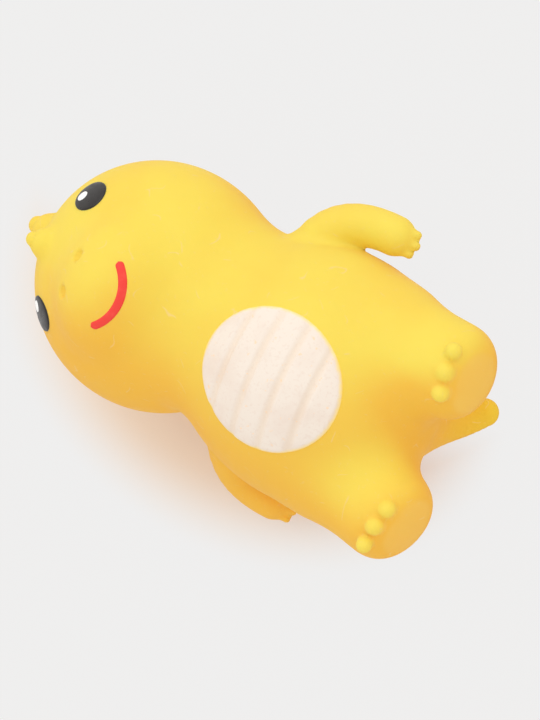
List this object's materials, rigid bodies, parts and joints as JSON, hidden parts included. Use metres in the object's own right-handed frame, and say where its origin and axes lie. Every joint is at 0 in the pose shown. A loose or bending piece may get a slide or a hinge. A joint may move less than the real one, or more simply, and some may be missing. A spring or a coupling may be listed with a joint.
{
  "type": "dinosaur squeeze toy",
  "caption": "Soft moulded rubber squeeze toy, a chubby baby dinosaur lying on its back, with a filled body, bendable limbs and tail, and a ribbed belly panel to press.",
  "frame": {"origin": "on the resting surface, under the middle of the torso", "axes": "+X from the head to the feet, +Y towards the toy's left, +Z from the back to the belly"},
  "size_m": [0.116, 0.0787, 0.057],
  "materials": {
    "skin": "matte powdered soft rubber",
    "limbs": "matte powdered soft rubber",
    "belly": "matte cream paint on soft rubber",
    "filling": "soft filling, hidden",
    "eyes": "printed ink",
    "glints": "printed ink",
    "mouth": "printed ink"
  },
  "bodies": {
    "torso": {"torso_skin": "skin", "torso_filling": "filling", "filling_plug": "limbs"},
    "belly": {"belly_panel": "belly"},
    "head": {"head_skin": "skin", "head_filling": "filling", "mouth_print": "mouth", "eye_print_left": "eyes", "eye_print_right": "eyes", "eye_glint_left": "glints", "eye_glint_right": "glints"},
    "left_arm": {"arm_left": "limbs"},
    "right_arm": {"arm_right": "limbs"},
    "left_leg": {"leg_left": "limbs"},
    "right_leg": {"leg_right": "limbs"},
    "tail": {"tail": "limbs"}
  },
  "joints": [
    {"name": "head_twist", "type": "hinge", "parent": "torso", "child": "head", "pos_m": [-0.02, 0, 0.0255], "axis": [1, 0, 0], "range_deg": [-15, 15], "stiffness_Nm_per_rad": 0.1},
    {"name": "left_arm_swing", "type": "hinge", "parent": "torso", "child": "left_arm", "pos_m": [-0.009, 0.02115, 0.02398], "axis": [0, -1, 0], "range_deg": [-15, 25], "stiffness_Nm_per_rad": 0.03},
    {"name": "right_arm_swing", "type": "hinge", "parent": "torso", "child": "right_arm", "pos_m": [-0.009, -0.02115, 0.02398], "axis": [0, -1, 0], "range_deg": [-15, 25], "stiffness_Nm_per_rad": 0.03},
    {"name": "left_leg_flex", "type": "hinge", "parent": "torso", "child": "left_leg", "pos_m": [0.0207, 0.0152, 0.0295], "axis": [0, -1, 0], "range_deg": [-10, 10], "stiffness_Nm_per_rad": 0.1},
    {"name": "right_leg_flex", "type": "hinge", "parent": "torso", "child": "right_leg", "pos_m": [0.0207, -0.0152, 0.0295], "axis": [0, -1, 0], "range_deg": [-10, 10], "stiffness_Nm_per_rad": 0.1},
    {"name": "tail_wag", "type": "hinge", "parent": "torso", "child": "tail", "pos_m": [0.025, 0, 0.012], "axis": [0, 0, 1], "range_deg": [-15, 15], "stiffness_Nm_per_rad": 0.05},
    {"name": "belly_press", "type": "slide", "parent": "torso", "child": "belly", "axis": [0, 0, -1], "range_m": [0, 0.0055], "stiffness_N_per_m": 300, "springref_m": -0.0005, "deforming": ["torso_filling"]}
  ]
}
